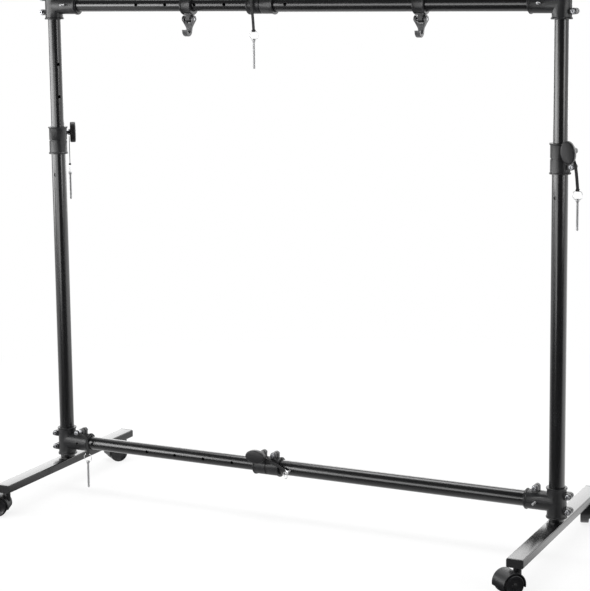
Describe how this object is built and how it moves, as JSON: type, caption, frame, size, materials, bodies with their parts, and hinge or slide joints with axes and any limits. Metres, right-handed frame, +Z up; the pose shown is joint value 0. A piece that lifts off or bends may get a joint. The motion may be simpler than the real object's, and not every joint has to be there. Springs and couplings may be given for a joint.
{
  "type": "gong stand",
  "caption": "Rolling gong stand: telescoping tube frame on caster feet, cast clamps with hand knobs, sliding hangers with hooks and locking pins.",
  "frame": {"origin": "on the floor under the middle of the whole stand", "axes": "+Z up; +X along the crossbars towards the end with the outer tubes; -Y towards the side with the bars' hand knobs"},
  "size_m": [1.5059, 0.6475, 1.3524],
  "materials": {
    "black_tube": "black powder coat with a soft satin shine",
    "cast_clamp": "dark grey-black coated die casting, slightly matte",
    "black_plastic": "black moulded plastic",
    "strap": "black flexible plastic strap",
    "chrome": "bright plated steel"
  },
  "bodies": {
    "base_left": {"foot_left": "black_tube", "foot_cap_back_left": "black_plastic", "foot_cap_front_left": "black_plastic", "upright_lower_left": "black_tube", "t_clamp_lower_left": "cast_clamp", "bar_lower_inner": "black_tube", "collar_upright_left": "cast_clamp", "lanyard_bolt_lower_left": "chrome", "lanyard_upright_left": "strap", "lanyard_ring_upright_left": "chrome", "pin_upright_left": "chrome", "lanyard_lower_left": "strap", "lanyard_ring_lower_left": "chrome", "pin_lower_left": "chrome"},
    "base_right": {"foot_right": "black_tube", "foot_cap_back_right": "black_plastic", "foot_cap_front_right": "black_plastic", "upright_lower_right": "black_tube", "t_clamp_lower_right": "cast_clamp", "bar_lower_outer": "black_tube", "collar_upright_right": "cast_clamp", "collar_bar_lower": "cast_clamp", "lanyard_upright_right": "strap", "lanyard_ring_upright_right": "chrome", "pin_upright_right": "chrome", "lanyard_bar_lower": "strap", "lanyard_ring_bar_lower": "chrome", "pin_bar_lower": "chrome"},
    "top_left": {"upright_upper_left": "black_tube", "t_clamp_upper_left": "cast_clamp", "bar_upper_inner": "black_tube"},
    "top_right": {"upright_upper_right": "black_tube", "t_clamp_upper_right": "cast_clamp", "bar_upper_outer": "black_tube", "collar_bar_upper": "cast_clamp", "lanyard_bar_upper": "strap", "lanyard_ring_bar_upper": "chrome", "pin_bar_upper": "chrome"},
    "hanger_left": {"hanger_clamp_left": "cast_clamp", "hanger_pivot_left": "chrome"},
    "hanger_right": {"hanger_clamp_right": "cast_clamp", "hanger_pivot_right": "chrome"},
    "hook_left": {"hanger_hook_left": "cast_clamp"},
    "hook_right": {"hanger_hook_right": "cast_clamp"},
    "knob_upright_left": {"knob_upright_left": "black_plastic"},
    "knob_upright_right": {"knob_upright_right": "black_plastic"},
    "knob_bar_lower": {"knob_bar_lower": "black_plastic"},
    "knob_bar_upper": {"knob_bar_upper": "black_plastic"},
    "caster_front_left": {"caster_body_front_left": "black_plastic"},
    "wheels_front_left": {"caster_wheels_front_left": "black_plastic"},
    "caster_front_right": {"caster_body_front_right": "black_plastic"},
    "wheels_front_right": {"caster_wheels_front_right": "black_plastic"},
    "caster_back_left": {"caster_body_back_left": "black_plastic"},
    "wheels_back_left": {"caster_wheels_back_left": "black_plastic"},
    "caster_back_right": {"caster_body_back_right": "black_plastic"},
    "wheels_back_right": {"caster_wheels_back_right": "black_plastic"},
    "pin_upper_left": {"pin_upper_left": "chrome"},
    "pin_upper_right": {"pin_upper_right": "chrome"},
    "pin_lower_right": {"pin_lower_right": "chrome"}
  },
  "joints": [
    {"name": "width_bottom", "type": "slide", "parent": "base_left", "child": "base_right", "axis": [1, 0, 0], "range_m": [-0.085, 0.165]},
    {"name": "height", "type": "slide", "parent": "base_left", "child": "top_left", "axis": [0, 0, 1], "range_m": [-0.25, 0.33]},
    {"name": "width_top", "type": "slide", "parent": "top_left", "child": "top_right", "axis": [1, 0, 0], "range_m": [-0.085, 0.165]},
    {"name": "hanger_left_slide", "type": "slide", "parent": "top_left", "child": "hanger_left", "axis": [1, 0, 0], "range_m": [-0.29, 0.06]},
    {"name": "hanger_right_slide", "type": "slide", "parent": "top_right", "child": "hanger_right", "axis": [1, 0, 0], "range_m": [-0.34, 0.24]},
    {"name": "hook_left_swing", "type": "hinge", "parent": "hanger_left", "child": "hook_left", "pos_m": [-0.2808, 0.0168, 1.2674], "axis": [1, 0, 0], "range_deg": [-60, 60]},
    {"name": "hook_right_swing", "type": "hinge", "parent": "hanger_right", "child": "hook_right", "pos_m": [0.3512, 0.0168, 1.2674], "axis": [1, 0, 0], "range_deg": [-60, 60]},
    {"name": "knob_upright_left_turn", "type": "hinge", "parent": "base_left", "child": "knob_upright_left", "pos_m": [-0.67299, 0.06339, 0.966], "axis": [0.8425, 0.5388, 0], "continuous": true},
    {"name": "knob_upright_right_turn", "type": "hinge", "parent": "base_right", "child": "knob_upright_right", "pos_m": [0.7277, -0.0212, 0.966], "axis": [0, -1, 0], "continuous": true},
    {"name": "knob_bar_lower_turn", "type": "hinge", "parent": "base_right", "child": "knob_bar_lower", "pos_m": [-0.0888, -0.0212, 0.1584], "axis": [0, -1, 0], "continuous": true},
    {"name": "knob_bar_upper_turn", "type": "hinge", "parent": "top_right", "child": "knob_bar_upper", "pos_m": [-0.0888, -0.0212, 1.3354], "axis": [0, -1, 0], "continuous": true},
    {"name": "swivel_front_left", "type": "hinge", "parent": "base_left", "child": "caster_front_left", "pos_m": [-0.6883, -0.2682, 0.055], "axis": [0, 0, 1], "continuous": true},
    {"name": "roll_front_left", "type": "hinge", "parent": "caster_front_left", "child": "wheels_front_left", "pos_m": [-0.70846, -0.27701, 0.025], "axis": [0.4006, -0.9163, 0], "continuous": true},
    {"name": "swivel_front_right", "type": "hinge", "parent": "base_right", "child": "caster_front_right", "pos_m": [0.6967, -0.2682, 0.055], "axis": [0, 0, 1], "continuous": true},
    {"name": "roll_front_right", "type": "hinge", "parent": "caster_front_right", "child": "wheels_front_right", "pos_m": [0.68306, -0.28547, 0.025], "axis": [0.7848, -0.6198, 0], "continuous": true},
    {"name": "swivel_back_left", "type": "hinge", "parent": "base_left", "child": "caster_back_left", "pos_m": [-0.6883, 0.3018, 0.055], "axis": [0, 0, 1], "continuous": true},
    {"name": "roll_back_left", "type": "hinge", "parent": "caster_back_left", "child": "wheels_back_left", "pos_m": [-0.70194, 0.28453, 0.025], "axis": [0.7848, -0.6198, 0], "continuous": true},
    {"name": "swivel_back_right", "type": "hinge", "parent": "base_right", "child": "caster_back_right", "pos_m": [0.6967, 0.3018, 0.055], "axis": [0, 0, 1], "continuous": true},
    {"name": "roll_back_right", "type": "hinge", "parent": "caster_back_right", "child": "wheels_back_right", "pos_m": [0.70266, 0.28062, 0.025], "axis": [0.9627, 0.2707, 0], "continuous": true},
    {"name": "pin_upper_left_pull", "type": "slide", "parent": "top_left", "child": "pin_upper_left", "axis": [0, 1, 0], "range_m": [0, 0.075]},
    {"name": "pin_upper_right_pull", "type": "slide", "parent": "top_right", "child": "pin_upper_right", "axis": [0, 1, 0], "range_m": [0, 0.075]},
    {"name": "pin_lower_right_pull", "type": "slide", "parent": "base_right", "child": "pin_lower_right", "axis": [0, 1, 0], "range_m": [0, 0.075]}
  ],
  "couplings": [
    {"joint": "width_top", "follows": "width_bottom", "ratio": 1}
  ]
}
